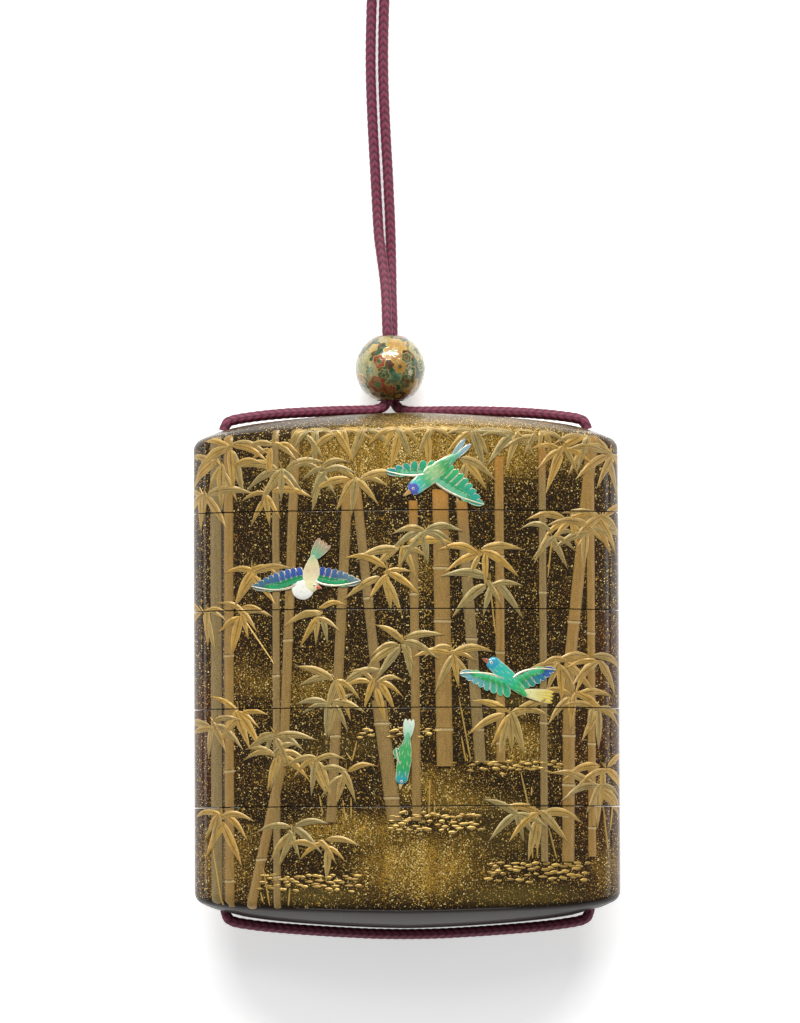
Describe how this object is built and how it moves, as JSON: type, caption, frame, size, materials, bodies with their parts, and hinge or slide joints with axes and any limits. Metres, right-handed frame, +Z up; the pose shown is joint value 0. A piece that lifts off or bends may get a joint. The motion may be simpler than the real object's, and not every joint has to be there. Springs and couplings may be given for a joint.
{
  "type": "inro case",
  "caption": "Tiered lacquer case with a domed lid, bamboo and enamel birds on its front, strung on a silk cord with a round bead and lying on its back.",
  "frame": {"origin": "middle of the surface that the case lies on, below the middle of the case's own box; the cord, its knot and the bead are not counted", "axes": "+Y towards the lid and the free cord, +Z up out of the decorated front, +X to the right of the front seen from above with the lid away from the viewer"},
  "size_m": [0.0772, 0.2376, 0.0273],
  "materials": {
    "lacquer": "gloss",
    "enamel": "gloss",
    "bead": "gloss",
    "silk_cord": "matte"
  },
  "bodies": {
    "root": {"lid": "lacquer", "upper_case": "lacquer", "second_case": "lacquer", "third_case": "lacquer", "bottom_case": "lacquer", "lid_bird": "enamel", "upper_case_bird": "enamel", "second_case_bird": "enamel", "third_case_bird": "enamel", "ojime_bead": "bead", "cord_left_strand": "silk_cord", "cord_right_strand": "silk_cord", "cord_under_loop": "silk_cord", "cord_knot": "silk_cord"}
  },
  "joints": []
}
